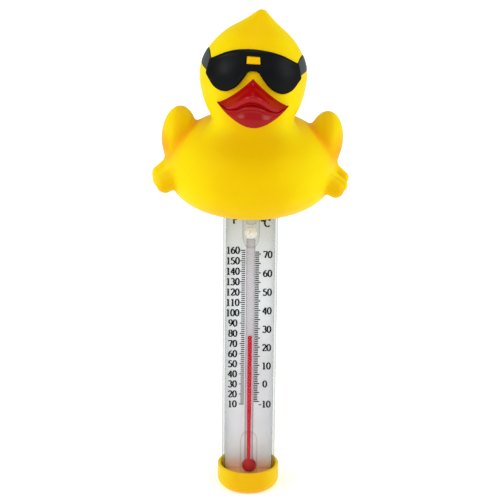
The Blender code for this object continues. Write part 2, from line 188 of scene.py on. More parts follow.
def skin(field, low, high, cell):
    """The zero surface of a field as quads: one point in each grid cell that the surface crosses."""
    axes = [np.arange(a, b + cell, cell) for a, b in zip(low, high)]
    grid = np.stack(np.meshgrid(*axes, indexing="ij"), axis=-1)
    inside = (field(grid.reshape(-1, 3)) < 0.0).reshape(grid.shape[:3])
    nx, ny, nz = inside.shape
    count = np.zeros((nx - 1, ny - 1, nz - 1), int)
    for dx, dy, dz in np.ndindex(2, 2, 2):
        count += inside[dx : nx - 1 + dx, dy : ny - 1 + dy, dz : nz - 1 + dz]
    mixed = (count > 0) & (count < 8)
    index = np.full(mixed.shape, -1)
    index[mixed] = np.arange(mixed.sum())
    points = np.stack([axes[i][w] + cell / 2 for i, w in enumerate(np.nonzero(mixed))], axis=1)
    quads = []
    for axis in range(3):
        first = np.take(inside, range(inside.shape[axis] - 1), axis)
        second = np.take(inside, range(1, inside.shape[axis]), axis)
        at = np.argwhere(first != second)
        b, c = (axis + 1) % 3, (axis + 2) % 3
        at = at[(at[:, b] > 0) & (at[:, c] > 0)]
        at = at[(at[:, b] < inside.shape[b] - 1) & (at[:, c] < inside.shape[c] - 1)]
        ring = []
        for db, dc in ((1, 1), (0, 1), (0, 0), (1, 0)):
            cell_at = at.copy()
            cell_at[:, b] -= db
            cell_at[:, c] -= dc
            ring.append(index[tuple(cell_at.T)])
        ring = np.stack(ring, axis=1)
        outward = first[tuple(at.T)]
        quads.append(np.where(outward[:, None], ring, ring[:, ::-1]))
    quads = np.concatenate(quads)
    points = settle(field, points)
    for _ in range(3):
        points = settle(field, relax(points, quads), 2)
    return points, quads


# Meshes


def to_object(name, points, faces, smooth=True, sharp=None):
    mesh = bpy.data.meshes.new(name)
    mesh.from_pydata((np.asarray(points, float) * MM).tolist(), [], [list(map(int, f)) for f in faces])
    mesh.update()
    obj = bpy.data.objects.new(name, mesh)
    bpy.context.scene.collection.objects.link(obj)
    if smooth:
        mesh.shade_smooth()
    if sharp:
        mesh.set_sharp_from_angle(angle=math.radians(sharp))
    return obj


def mask(obj, name, values):
    """A value for each point of the mesh, for its material to read."""
    layer = obj.data.attributes.new(name, "FLOAT", "POINT")
    layer.data.foreach_set("value", np.asarray(values, np.float32))


def curve_through(points, per_span=6, closed=False):
    """A smooth line through the points (Catmull-Rom)."""
    p = np.asarray(points, float)
    before, after = (p[-1:], p[:2]) if closed else ([2 * p[0] - p[1]], [2 * p[-1] - p[-2]])
    padded = np.vstack([before, p, after])
    out = []
    for a, b, c, d in zip(padded, padded[1:], padded[2:], padded[3:]):
        for k in range(per_span):
            t = k / per_span
            bend = (2 * a - 5 * b + 4 * c - d) * t**2 + (3 * b - a - 3 * c + d) * t**3
            out.append(0.5 * (2 * b + (c - a) * t + bend))
    if not closed:
        out.append(p[-1])
    return np.array(out)


def arc(centre_r, centre_z, radius, start, end, count=8):
    """Points of a profile round a centre, from a start to an end angle in degrees."""
    angles = np.radians(np.linspace(start, end, count + 1))
    return [(centre_r + radius * math.cos(a), centre_z + radius * math.sin(a)) for a in angles]


def turned(name, profile, steps=128, centre=(0.0, 0.0), sharp=40.0):
    """A closed profile of (radius, height) turned about an upright axis; on the axis, one vertex a point."""
    points, rows = [], []
    for r, z in profile:
        if r < 1e-6:
            rows.append([len(points)] * steps)
            points.append((centre[0], centre[1], z))
            continue
        rows.append(list(range(len(points), len(points) + steps)))
        for i in range(steps):
            a = 2 * math.pi * i / steps
            points.append((centre[0] + r * math.cos(a), centre[1] + r * math.sin(a), z))
    faces = []
    for k in range(len(rows)):
        upper, lower = rows[k], rows[(k + 1) % len(rows)]
        for i in range(steps):
            j = (i + 1) % steps
            ring = [upper[i], lower[i], lower[j], upper[j]]
            ring = [v for n, v in enumerate(ring) if v != ring[n - 1]]
            if len(ring) > 2:
                faces.append(ring)
    return to_object(name, points, faces, sharp=sharp)


# Material tools


class Nodes:
    """A material's node tree, built by naming a node and its inputs in one call."""

    def __init__(self, name):
        self.material = bpy.data.materials.new(name)
        self.material.use_nodes = True
        self.tree = self.material.node_tree
        self.tree.nodes.clear()
        self.out = self.tree.nodes.new("ShaderNodeOutputMaterial")

    def feed(self, node, socket, value):
        """Links a node or socket to an input, or sets the input to a plain value."""
        if isinstance(value, bpy.types.Node):
            value = value.outputs[0]
        if isinstance(value, bpy.types.NodeSocket):
            self.tree.links.new(value, node.inputs[socket])
        else:
            node.inputs[socket].default_value = value

    def add(self, kind, *values, **inputs):
        """values feed the first inputs in their order, and inputs feed those that they name."""
        node = self.tree.nodes.new("ShaderNode" + kind)
        for i, value in enumerate(values):
            self.feed(node, i, value)
        for key, value in inputs.items():
            self.feed(node, key.replace("_", " "), value)
        return node

    def math(self, operation, a, b=0.0, clamp=False):
        node = self.add("Math", a, b)
        node.operation = operation
        node.use_clamp = clamp
        return node.outputs[0]

    def mix(self, share, a, b):
        node = self.tree.nodes.new("ShaderNodeMix")
        node.data_type = "RGBA"
        for socket, value in ((0, share), (6, a), (7, b)):
            self.feed(node, socket, value)
        return node.outputs[2]

    def position(self):
        return self.add("TexCoord").outputs["Object"]

    def noise(self, scale, detail=2.0):
        return self.add("TexNoise", Vector=self.position(), Scale=scale, Detail=detail).outputs["Fac"]

    def remap(self, value, low, high, to_low, to_high):
        return self.add("MapRange", value, low, high, to_low, to_high).outputs[0]

    def wander(self, scale, low, high, detail=3.0, spread=0.2):
        """A value that wanders between low and high over the surface."""
        return self.remap(self.noise(scale, detail), 0.5 - spread, 0.5 + spread, low, high)

    def attribute(self, name):
        node = self.tree.nodes.new("ShaderNodeAttribute")
        node.attribute_name = name
        return node.outputs["Fac"]

    def bump(self, height, strength, distance=0.0001):
        return self.add("Bump", Height=height, Strength=strength, Distance=distance).outputs[0]

    def facing(self):
        """0 where the surface faces the viewer, 1 at its edges."""
        return self.add("LayerWeight", Blend=0.5).outputs["Facing"]

    def glancing(self, head_on, edge_on):
        """How much the surface mirrors: head_on where it faces the viewer, and edge_on more at its edges."""
        rise = self.math("MULTIPLY", self.math("POWER", self.facing(), 5.0), edge_on)
        return self.math("ADD", rise, head_on, True)

    def finish(self, shader):
        self.tree.links.new(shader.outputs[0], self.out.inputs["Surface"])
        return self.material


def wear(obj, material):
    obj.data.materials.clear()
    obj.data.materials.append(material)
    return obj


def wear_node(frame, name, material):
    for slot in frame["nodes"][name].material_slots:
        slot.material = material


def rgb(red, green, blue):
    return (red, green, blue, 1.0)


WHITE = rgb(1.0, 1.0, 1.0)
# LEMON_LIT is the vinyl's yellow where it faces the side lamps, GOLD_SHADE the same yellow as painted shade,
# ORANGE the airbrush's colour, also used as painted shade in creases
LEMON_LIT, GOLD_SHADE, ORANGE = rgb(0.86, 0.705, 0.0006), rgb(0.81, 0.515, 0.0006), rgb(0.84, 0.24, 0.006)
# The cap's yellow where lit from the sides, the same yellow as painted shade, and the colour of its painted
# glow
CAP_LEMON_LIT, CAP_GOLD_SHADE, CAP_GLOW = rgb(0.82, 0.60, 0.001), rgb(0.79, 0.45, 0.001), rgb(0.9, 0.38, 0.01)
# The bill's red, and the same red as painted shade below the upper lip
BILL_RED, BILL_SHADED_RED = rgb(0.37, 0.0022, 0.004), rgb(0.33, 0.0008, 0.002)
SPIRIT_RED, SPIRIT_DARK = rgb(0.70, 0.016, 0.034), rgb(0.55, 0.012, 0.03)
BALL_RED, BALL_DARK = rgb(0.62, 0.006, 0.012), rgb(0.32, 0.001, 0.003)
# The lens's black, and the grey painted on the arms as sheen where they catch the side lamps
LENS_BLACK, ARM_SHEEN_GREY = rgb(0.0025, 0.003, 0.0035), rgb(0.055, 0.065, 0.062)
# Each clear material: what it lets through seen head on, and at its edges
TUBE_CLEAR, TUBE_GREY = rgb(0.99, 0.992, 0.99), rgb(0.5, 0.53, 0.51)
STEM_CLEAR, STEM_GREY = rgb(0.88, 0.85, 0.87), rgb(0.5, 0.45, 0.47)
SLEEVE_CLEAR, SLEEVE_GREY = rgb(0.995, 0.992, 0.988), rgb(0.55, 0.55, 0.5)
SMOKY_CLEAR, SMOKY_GREY = rgb(0.965, 0.965, 0.95), rgb(0.6, 0.6, 0.54)
BEAD_CLEAR, BEAD_GREY = rgb(0.85, 0.85, 0.8), rgb(0.6, 0.6, 0.52)
MILK_WHITE = rgb(0.9, 0.9, 0.86)
AMBER, AMBER_DARK = rgb(0.8, 0.45, 0.2), rgb(0.74, 0.4, 0.17)
FOAM, FOAM_GREY = rgb(0.8, 0.8, 0.78), rgb(0.7, 0.7, 0.68)
STEEL, STEEL_DARK = rgb(0.5, 0.5, 0.51), rgb(0.42, 0.42, 0.43)
RUBBER, RUBBER_GREY = rgb(0.03, 0.03, 0.03), rgb(0.045, 0.045, 0.045)
INK_BLACK, INK_GREY = rgb(0.004, 0.004, 0.005), rgb(0.012, 0.012, 0.014)
FLOOR_WHITE, FLOOR_DULL = rgb(0.95, 0.95, 0.95), rgb(0.93, 0.93, 0.93)
PAPER, PAPER_COOL = rgb(0.75, 0.79, 0.80), rgb(0.72, 0.74, 0.80)
# The card under painted shade, and under painted light from the yellow cap
PAPER_SHADED, PAPER_CAP_BOUNCE = rgb(0.58, 0.62, 0.62), rgb(0.82, 0.58, 0.46)
# Heights between which painted shade makes the card darker under the duck, and painted light from the cap
# makes it warmer down to the cap, in metres
SHADE_FROM_M, SHADE_TO_M = 0.1, 0.135
CAP_BOUNCE_FROM_M, CAP_BOUNCE_TO_M = 0.0145, 0.0085


def vinyl():
    """Soft satin yellow vinyl: lemon where lit from the sides, golden as painted shade elsewhere, and orange
    from the airbrush and as painted shade in creases, where the mesh's masks say.
    """
    n = Nodes("duck_vinyl")
    # Painted shade from the mesh's mask, plus tone that differs at random
    painted_shade = n.math("ADD", n.attribute("painted_shade"), n.wander(55.0, -0.12, 0.12, detail=4.0, spread=0.15), True)
    # Orange from the airbrush, and as painted shade in the creases
    spray_and_shade = n.math("MULTIPLY", n.attribute("spray_and_shade"), n.wander(420.0, 0.75, 1.0, detail=4.0), True)
    shader = n.add(
        "BsdfPrincipled",
        Base_Color=n.mix(spray_and_shade, n.mix(painted_shade, LEMON_LIT, GOLD_SHADE), ORANGE),
        Roughness=n.wander(120.0, 0.42, 0.52),
        Specular_IOR_Level=0.035,
        Normal=n.bump(n.noise(1500.0, 3.0), 0.1),
    )
    return n.finish(shader)


def cap_plastic():
    """The cap's injection-moulded yellow: a little glossier than the duck, golden as painted shade in its
    middle, with a faint painted glow from emission.
    """
    n = Nodes("cap_plastic")
    # Painted shade from the mesh's mask, plus tone that differs at random
    painted_shade = n.math("ADD", n.attribute("painted_shade"), n.wander(60.0, -0.15, 0.15, detail=4.0, spread=0.15), True)
    shader = n.add(
        "BsdfPrincipled",
        Base_Color=n.mix(painted_shade, CAP_LEMON_LIT, CAP_GOLD_SHADE),
        Roughness=n.wander(200.0, 0.3, 0.4),
        Specular_IOR_Level=0.08,
        Normal=n.bump(n.noise(900.0), 0.08),
        # A faint painted glow: the cap is no lamp, and the emission lifts its shade
        Emission_Color=CAP_GLOW,
        Emission_Strength=0.03,
    )
    return n.finish(shader)


def lacquer(name, light, deep, scale, rough, gloss, attribute=None, blotch=1.0, dull=0.0):
    """Glossy paint or plastic, varied from light to deep by noise and by a named mask on the mesh."""
    n = Nodes(name)
    tone = n.wander(scale, 0.0, blotch, spread=0.15)
    shine = n.wander(scale * 4, *rough)
    if attribute:
        tone = n.math("MAXIMUM", n.attribute(attribute), tone, True)
        shine = n.math("ADD", shine, n.math("MULTIPLY", n.attribute(attribute), dull))
    bump = n.bump(n.noise(scale * 12), 0.05)
    colour = n.mix(tone, light, deep)
    paint = n.add("BsdfPrincipled", Base_Color=colour, Roughness=0.5, Specular_IOR_Level=0.0, Normal=bump)
    mirror = n.add("BsdfGlossy", Color=WHITE, Roughness=shine, Normal=bump)
    return n.finish(n.add("MixShader", n.glancing(gloss, 0.15), paint, mirror))


def clear(name, tint, edge_tint, power, shine=0.05, gloss=0.004, haze=0.06, milk=0.0):
    """Clear material that doesn't bend light: see-through head on, darker and shinier at its edges."""
    n = Nodes(name)
    edge = n.math("ADD", n.math("POWER", n.facing(), power), n.wander(90.0, 0.0, haze), True)
    through = n.add("BsdfTransparent", Color=n.mix(edge, tint, edge_tint))
    mirror = n.add("BsdfGlossy", Color=WHITE, Roughness=shine)
    shader = n.add("MixShader", n.glancing(gloss, 0.22), through, mirror)
    if milk > 0.0:
        cloud = n.add("BsdfPrincipled", Base_Color=MILK_WHITE, Roughness=0.4)
        shader = n.add("MixShader", n.wander(700.0, milk * 0.4, milk, detail=4.0), shader, cloud)
    return n.finish(shader)


def matte(name, light, deep, scale, roughness, bump, metallic=0.0, specular=0.3):
    """Dull material, varied between two colours by noise."""
    n = Nodes(name)
    shader = n.add(
        "BsdfPrincipled",
        Base_Color=n.mix(n.wander(scale, 0.0, 1.0, detail=4.0, spread=0.15), light, deep),
        Roughness=n.wander(scale * 2, roughness * 0.9, roughness),
        Metallic=metallic,
        Specular_IOR_Level=specular,
        Normal=n.bump(n.noise(scale * 5, 3.0), bump, 0.0002),
    )
    return n.finish(shader)


def card_stock():
    """White card, with painted shade darker towards its top and painted warm light near the cap, as if
    bounced from it.
    """
    n = Nodes("card_white")
    height = n.add("SeparateXYZ", n.position()).outputs["Z"]
    paper = n.mix(n.wander(70.0, 0.0, 1.0), PAPER, PAPER_COOL)
    # Painted shade: darker towards the top, under the duck
    paper = n.mix(n.remap(height, SHADE_FROM_M, SHADE_TO_M, 0.0, 1.0), paper, PAPER_SHADED)
    # Painted light: warm where light from the yellow cap would bounce onto the card
    paper = n.mix(n.remap(height, CAP_BOUNCE_FROM_M, CAP_BOUNCE_TO_M, 0.0, 1.0), paper, PAPER_CAP_BOUNCE)
    return n.finish(n.add("BsdfPrincipled", Base_Color=paper, Roughness=0.6, Specular_IOR_Level=0.1))


# The duck's form

# Centre, half widths, heights below and above the centre, fullness below
BODY = ((0.0, 2.0, 158.5), (38.7, 38.0), 22.7, 25.9, 2.3)
# Centre and half sizes
HEAD_AT, HEAD_SEMI = (0.4, -6.0, 202.0), (24.0, 23.7, 22.2)
NECK = ((0.6, -5.0, 190.0), (19.4, 19.6, 15.0))
TAIL = ((0.0, 33.0, 168.0), (12.5, 16.0, 6.5))
TAIL_PITCH = 32.0
# Start, end, start radius, end radius
CREST = ((1.3, -6.0, 208.7), (3.8, -5.0, 228.1), 17.9, 3.2)
WING_SEMI = (8.1, 12.0, 13.8)
WING_PITCH = -8.0
# Toes of one foot: root, tip, root radius, tip radius
TOES = (
    ((34.2, 0.0, 160.2), (41.3, -1.5, 154.2), 3.2, 3.2),
    ((32.5, -6.0, 158.2), (40.7, -6.5, 151.9), 3.6, 3.1),
    ((28.5, -11.0, 157.2), (38.0, -12.3, 151.6), 4.8, 4.0),
)
# Each side: its direction along X, wing centre, wing lean, foot's shift out and up, and how soft its toes are
SIDES = (
    (-1.0, (-33.0, 4.0, 171.6), 3.0, (0.7, 1.4), 4.5),
    (1.0, (33.5, 4.0, 169.9), 8.0, (0.0, 0.0), 0.45),
)
# The hole for the tube, 0.35 clear of it all round
HOLE_R, HOLE_TOP = 13.05, 141.0
# How wide the fillets are where the forms join; the head's grows towards the front, over the breast
CREST_SOFT, NECK_SOFT, TAIL_SOFT = 4.0, 7.0, 8.0
HEAD_SOFT, BREAST_SOFT = 2.5, 11.0
BREAST_FROM_Y, BREAST_TO_Y = -2.0, -22.0
WING_SOFT, FOOT_SOFT = 2.6, 2.0
HOLE_TOP_SOFT, HOLE_RIM_SOFT = 0.3, 0.8
# Heights over which each coat of orange fades in or out (painted shade in the valley behind a wing, airbrush
# on the front toe's end, painted shade where that toe meets the body), and the place and size of the
# airbrushed patch on a wing's rim
VALLEY_FROM, VALLEY_TO = 157.0, 165.0
TOE_COAT_FROM, TOE_COAT_TO = 155.0, 150.0
ROOT_SHADE_FROM, ROOT_SHADE_TO = 158.0, 152.0
PATCH_OUT, PATCH_DROP, PATCH_SIZE, PATCH_DEPTH = 40.5, 3.5, (4.6, 7.0), 2.0
# The width of the painted shade between the toes, and how far out the front toe's airbrushed end begins and
# ends
TOE_GAP, TOE_END_FROM, TOE_END_TO = 0.9, 37.0, 42.0
DUCK_CELL, DUCK_ROOM = 0.75, 2.5


def sided(point, side, out, up):
    """A point given for the +X side, put on either side and shifted outwards and up."""
    return ((point[0] + out) * side, point[1], point[2] + up)


def body_field(p):
    return barrel(p, *BODY)


def wing_field(p, centre, lean):
    return ellipsoid(p, centre, WING_SEMI, basis(WING_PITCH, lean))


def toe_fields(p, side, shift):
    fields = []
    for root, tip, root_r, tip_r in TOES:
        fields.append(round_cone(p, sided(root, side, *shift), sided(tip, side, *shift), root_r, tip_r))
    return fields


def head_field(p):
    head = join(ellipsoid(p, HEAD_AT, HEAD_SEMI), round_cone(p, *CREST), CREST_SOFT)
    return join(head, ellipsoid(p, *NECK), NECK_SOFT)


def duck_field(p):
    tail = ellipsoid(p, *TAIL, basis(TAIL_PITCH, 0.0))
    duck = join(body_field(p), tail, TAIL_SOFT)
    breast = between(p[:, 1], BREAST_FROM_Y, BREAST_TO_Y)
    duck = join(duck, head_field(p), HEAD_SOFT + BREAST_SOFT * breast)
    for side, wing_at, lean, shift, toe_soft in SIDES:
        duck = join(duck, wing_field(p, wing_at, lean), WING_SOFT)
        first, second, third = toe_fields(p, side, shift)
        foot = join(join(first, second, toe_soft), third, toe_soft)
        duck = join(duck, foot, FOOT_SOFT)
    return duck


def shell_field(p):
    """The duck with its hole for the tube."""
    hole = np.hypot(p[:, 0], p[:, 1]) - HOLE_R
    below = p[:, 2] - HOLE_TOP
    return meet(duck_field(p), -meet(hole, below, HOLE_TOP_SOFT), HOLE_RIM_SOFT)


def crease(a, b, width):
    """One in the valley where two forms meet, fading over the width."""
    gap = np.maximum(a, 0.0) + np.maximum(b, 0.0)
    return np.exp(-((gap / width) ** 2))


def wing_spray(out, height, body, wing, wing_z):
    """Orange as painted shade in the valley behind a wing, and an airbrushed patch on the wing's outer rim.
    """
    # Painted shade: orange in the valley where the wing meets the body
    valley = 0.45 * crease(body, wing, 2.2) + 0.25 * crease(body, wing, 7.0)
    across, down = (out - PATCH_OUT) / PATCH_SIZE[0], (height - wing_z + PATCH_DROP) / PATCH_SIZE[1]
    patch = 0.8 * np.exp(-(across**2) - down**2) * ease(PATCH_DEPTH - np.abs(wing))
    return np.maximum(valley * between(height, VALLEY_FROM, VALLEY_TO), patch)


def foot_spray(out, height, body, toes):
    """Orange as painted shade between the toes and where the front toe meets the body, and airbrushed on the
    end of that toe.
    """
    first, second, third = toes
    # Painted shade: orange in the gaps between the toes
    gaps = np.maximum(crease(first, second, TOE_GAP), crease(second, third, TOE_GAP))
    end = between(out, TOE_END_FROM, TOE_END_TO) * between(height, TOE_COAT_FROM, TOE_COAT_TO)
    strength = 0.2 + 0.6 * end
    tip = 0.8 * strength * ease(1.5 - np.abs(third))
    # Painted shade: orange where the front toe meets the body
    root = 0.3 * crease(body, third, 2.0) * between(height, ROOT_SHADE_FROM, ROOT_SHADE_TO)
    return np.maximum(np.maximum(gaps * (0.25 + strength), tip), root)


def paint_masks(p):
    """How orange each point is, from the airbrush and from painted shade in the creases, and how much painted
    shade turns the lemon vinyl golden where the surface faces away from the side lamps.
    """
    normal = slope_of(shell_field, p)
    normal /= np.linalg.norm(normal, axis=1, keepdims=True)
    body = body_field(p)
    height = p[:, 2]
    spray_and_shade = np.zeros(len(p))
    for side, wing_at, lean, shift, _ in SIDES:
        out = p[:, 0] * side
        wing = wing_field(p, wing_at, lean)
        spray_and_shade = np.maximum(spray_and_shade, wing_spray(out, height, body, wing, wing_at[2]))
        spray_and_shade = np.maximum(spray_and_shade, foot_spray(out, height, body, toe_fields(p, side, shift)))
    # Painted shade: golden where the surface faces away from the side lamps, lemon where it faces them
    painted_shade = 1.0 - 0.75 * between(np.abs(normal[:, 0]), 0.15, 0.75)
    return np.clip(spray_and_shade, 0.0, 1.0), painted_shade


def make_duck(yellow):
    low, high = mm_box("duck_shell")
    points, quads = skin(shell_field, low - DUCK_ROOM, high + DUCK_ROOM, DUCK_CELL)
    duck = to_object("duck_float", points, quads)
    spray_and_shade, painted_shade = paint_masks(points)
    mask(duck, "spray_and_shade", spray_and_shade)
    mask(duck, "painted_shade", painted_shade)
    return wear(duck, yellow)


# Sunglasses: an outline in (degrees round the head from the front, height), the right half

FRAME_OUTLINE = (
    (0.0, 217.0),
    (20.0, 216.4),
    (35.0, 215.0),
    (45.0, 213.2),
    (52.0, 211.8),
    (57.0, 211.0),
    (61.0, 211.3),
    (66.0, 212.3),
    (72.0, 213.0),
    (82.0, 213.4),
    (91.0, 213.0),
    (97.0, 211.9),
    (99.0, 210.0),
    (97.0, 208.2),
    (90.0, 207.0),
    (82.0, 206.2),
    (70.0, 205.8),
    (62.0, 205.2),
    (57.0, 204.2),
    (51.0, 202.3),
    (45.0, 200.0),
    (39.0, 198.8),
    (33.0, 198.4),
    (27.0, 198.8),
    (21.0, 200.1),
    (15.5, 202.0),
    (11.5, 204.2),
    (8.3, 206.0),
    (6.2, 207.5),
    (3.2, 208.2),
    (0.0, 208.3),
)
# The glasses slope a little across the face, and their outline is wrapped round a head of this radius
FACE_TILT = 0.042
ROUND_HEAD = 24.0
# Left and right, bottom and top
PLATE = ((-3.1, 3.1), (211.4, 214.2))
PLATE_RELIEF, PLATE_CELL, PLATE_SPRAY = 2.0, 0.22, 0.22
# How far the lens and arm stand out of the head, and how far both are sunk into it
LENS_RELIEF, ARM_RELIEF, SUNK = 1.3, 0.15, 0.8
RIM_RELIEF, RIM_IN, RIM_WIDTH = 0.18, 0.9, 0.5
BULGE_RELIEF, BULGE_AT, BULGE_SIZE = 0.2, (13.5, 206.5), (9.0, 7.0)
LENS_END, ARM_START = 23.4, 1.6
PLATE_GAP, PLATE_SUNK = 0.35, 0.5
# How round the edges are: the glasses', their window's, the plate's back and its sides
GLASSES_SOFT, WINDOW_SOFT, BACK_SOFT, PLATE_SOFT = 0.55, 0.35, 0.2, 0.7
# Room for the grid round each CAD piece; behind it the arms reach further
GLASSES_ROOM, ARM_REACH, PLATE_ROOM = 2.0, 8.0, 1.5
GLASSES_CELL = 0.42


def polygon_distance(x, y, corners):
    """Signed distance to a closed outline, negative inside."""
    best = np.full(x.shape, 1e9)
    inside = np.zeros(x.shape, bool)
    n = len(corners)
    for i in range(n):
        ax, ay = corners[i]
        bx, by = corners[(i + 1) % n]
        ex, ey = bx - ax, by - ay
        t = np.clip(((x - ax) * ex + (y - ay) * ey) / (ex * ex + ey * ey + 1e-12), 0.0, 1.0)
        best = np.minimum(best, (x - ax - t * ex) ** 2 + (y - ay - t * ey) ** 2)
        crosses = (ay > y) != (by > y)
        if abs(ey) > 1e-12:
            inside ^= crosses & (x < ax + (y - ay) * ex / ey)
    return np.sqrt(best) * np.where(inside, -1.0, 1.0)


def box_distance(x, y, sides):
    """Signed distance to a rectangle, square at its corners."""
    (left, right), (bottom, top) = sides
    across = np.abs(x - (left + right) / 2) - (right - left) / 2
    return np.maximum(across, np.abs(y - (bottom + top) / 2) - (top - bottom) / 2)


def on_face(p):
    """Each point's way round the head to the viewer's right, and its height along the tilted face."""
    u = np.arctan2(p[:, 0] - HEAD_AT[0], HEAD_AT[1] - p[:, 1]) * ROUND_HEAD
    return u, p[:, 2] + FACE_TILT * u


def glasses_outline(u, z):
    """Distance to the glasses' edge, negative inside."""
    left = [(-a, z) for a, z in reversed(FRAME_OUTLINE[1:-1])]
    edge = curve_through([*FRAME_OUTLINE, *left], 3, closed=True)
    return polygon_distance(u, z, edge * (math.radians(ROUND_HEAD), 1.0))


def glasses_field(p):
    """A sheet over the head with a low rim, a bulge at each eye and a window for the plate."""
    u, z = on_face(p)
    outline = glasses_outline(u, z)
    arm = ease((np.abs(u) - LENS_END) / ARM_START)
    rim = RIM_RELIEF * np.exp(-(((outline + RIM_IN) / RIM_WIDTH) ** 2)) * (1.0 - arm)
    across = (np.abs(u) - BULGE_AT[0]) / BULGE_SIZE[0]
    bulge = BULGE_RELIEF * np.exp(-(across**2) - ((z - BULGE_AT[1]) / BULGE_SIZE[1]) ** 2)
    relief = LENS_RELIEF + (ARM_RELIEF - LENS_RELIEF) * arm + rim + bulge
    head = head_field(p)
    sheet = np.maximum(head - relief, -(head + SUNK))
    window = box_distance(u, z, PLATE) - PLATE_GAP
    return meet(meet(sheet, outline, GLASSES_SOFT), -window, WINDOW_SOFT)


def make_glasses(black):
    low, high = mm_box("sunglasses")
    room = (GLASSES_ROOM, ARM_REACH, GLASSES_ROOM)
    points, quads = skin(glasses_field, low - GLASSES_ROOM, high + room, GLASSES_CELL)
    glasses = to_object("sunglasses_relief", points, quads)
    u, z = on_face(points)
    inside = ease((-0.2 - glasses_outline(u, z)) / 0.5)
    # Where the arms take their painted grey sheen
    mask(glasses, "arm", ease((np.abs(u) - LENS_END) / 2.0) * inside)
    return wear(glasses, black)


def plate_field(p):
    head = head_field(p)
    sheet = meet(head - PLATE_RELIEF, -(head + PLATE_SUNK), BACK_SOFT)
    return meet(sheet, box_distance(*on_face(p), PLATE), PLATE_SOFT)


def make_plate(yellow):
    low, high = mm_box("bridge_plate")
    points, quads = skin(plate_field, low - PLATE_ROOM, high + PLATE_ROOM, PLATE_CELL)
    plate = to_object("bridge_plate_trim", points, quads)
    mask(plate, "spray_and_shade", np.full(len(points), PLATE_SPRAY))
    # Painted shade: the plate faces front, so it is golden all over
    mask(plate, "painted_shade", np.ones(len(points)))
    return wear(plate, yellow)


# Bill: sections across the mouth, each a smooth loop from the forehead, over the lip and under the jaw

# Middle, half width, and how far the bill drops for each millimetre to the viewer's right
BILL_X, BILL_HALF, BILL_TILT = 0.3, 15.8, 0.05
CORNER_Y, CORNER_Z = -21.5, 192.4
# How far the lip and jaw stand out of the corners of the mouth, and the rises and the drop in the middle
LIP_OUT, JAW_OUT = 21.8, 19.4
TOP_RISE, LIP_RISE, JAW_DROP = 12.6, 8.0, 6.6
LIP_RISE_HALF = 11.8
LIP_THICK = 2.5
# The mouth's height at which the lips have their full size; they shrink with it towards the corners
FULL_MOUTH = 9.0
BACK_Y = -16.0
BILL_SUNK = 0.6
# The end sections stop just short of the corners of the mouth
BILL_ENDS = 0.997
# The upper beak: shares of the way out and down from the head to the lip, and how hollow it is there
BEAK_TOP = ((0.3, 0.36, 0.5), (0.62, 0.62, 0.7), (0.87, 0.88, 0.75))
# Behind and above the lip's front edge, the groove under the lip, and the jaw's lower edge
LIP_FRONT = ((1.0, 0.3), (0.35, 0.2), (0.0, -0.5), (0.05, -1.5))
LIP_GROOVE = ((0.35, 0.3), (0.9, 0.0), (1.4, -0.15), (1.9, -0.55))
JAW_EDGE = ((0.35, 0.3), (1.3, -0.1), (6.0, -0.5))
# The lower lip and jaw: behind the jaw's front, and share of the way down it
JAW_FRONT = ((0.5, 0.12), (-0.45, 0.2), (-0.35, 0.29), (0.35, 0.37), (0.1, 0.52), (-0.35, 0.68), (-0.2, 0.84))
BILL_SECTIONS = 97
SHADE_DEPTH = 0.8


def round_off(corner, offsets, scale):
    """Points round a corner of the section, from their offsets at full size."""
    return [(corner[0] + back * scale, corner[1] + up * scale) for back, up in offsets]


def face_y(x, z):
    """Y just inside the front of the head at a point of the face."""
    depth = HEAD_SEMI[1] ** 2 - (z - HEAD_AT[2]) ** 2 - x * x
    return HEAD_AT[1] - math.sqrt(max(30.0, depth)) + BILL_SUNK


def bill_section(x):
    """The bill's section at x, and the height of the underside of its upper lip there."""
    out = min(abs(x) / BILL_HALF, 1.0)
    flat = 1.0 - out * out
    arch = max(0.0, 1.0 - (x / LIP_RISE_HALF) ** 2) ** 1.6
    top = CORNER_Z + 0.2 + TOP_RISE * (1.0 - out) ** 1.25
    lip = CORNER_Z - 0.3 + LIP_RISE * arch + 0.4 * float(between(abs(x), 11.0, BILL_HALF))
    low = CORNER_Z - JAW_DROP * flat**1.35
    root_y = face_y(x, top)
    lip_y = CORNER_Y - LIP_OUT * flat**1.05
    jaw_y = CORNER_Y - JAW_OUT * flat**0.75
    size = min(1.0, max(0.06, (lip - low) / FULL_MOUTH))
    under = lip - LIP_THICK * size
    points = [(BACK_Y, top + 0.6), (root_y, top)]
    for away, down, hollow in BEAK_TOP:
        points.append((root_y + (lip_y - root_y) * away, top + (lip - top) * down - hollow * size))
    points += round_off((lip_y, lip), LIP_FRONT, size)
    points += round_off((lip_y, under), LIP_GROOVE, size)
    points += [(jaw_y + back * size, under + (low - under) * down) for back, down in JAW_FRONT]
    points += round_off((jaw_y, low), JAW_EDGE, size)
    points.append((BACK_Y, low - 0.2))
    return [(BILL_X + x, y, z - BILL_TILT * x) for y, z in points], under


def make_bill(red):
    angles = np.linspace(-math.pi / 2, math.pi / 2, BILL_SECTIONS)
    rings, deep = [], []
    for x in BILL_HALF * BILL_ENDS * np.sin(angles):
        section, under = bill_section(x)
        ring = curve_through(section, 5)
        rings.append(ring)
        # Painted shade: the bill turns darker red below the underside of its upper lip
        deep.append(ease((under - ring[:, 2] - BILL_TILT * x) / SHADE_DEPTH))
    rows, columns = len(rings), len(rings[0])
    faces = []
    for i in range(rows - 1):
        here, there = i * columns, (i + 1) * columns
        for j in range(columns):
            k = (j + 1) % columns
            faces.append((here + j, there + j, there + k, here + k))
    faces.append(tuple(range(columns)))
    faces.append(tuple(range((rows - 1) * columns, rows * columns))[::-1])
    bill = to_object("bill_gloss", np.concatenate(rings), faces, sharp=75.0)
    mask(bill, "deep", np.concatenate(deep))
    return wear(bill, red)


# Tube and cap

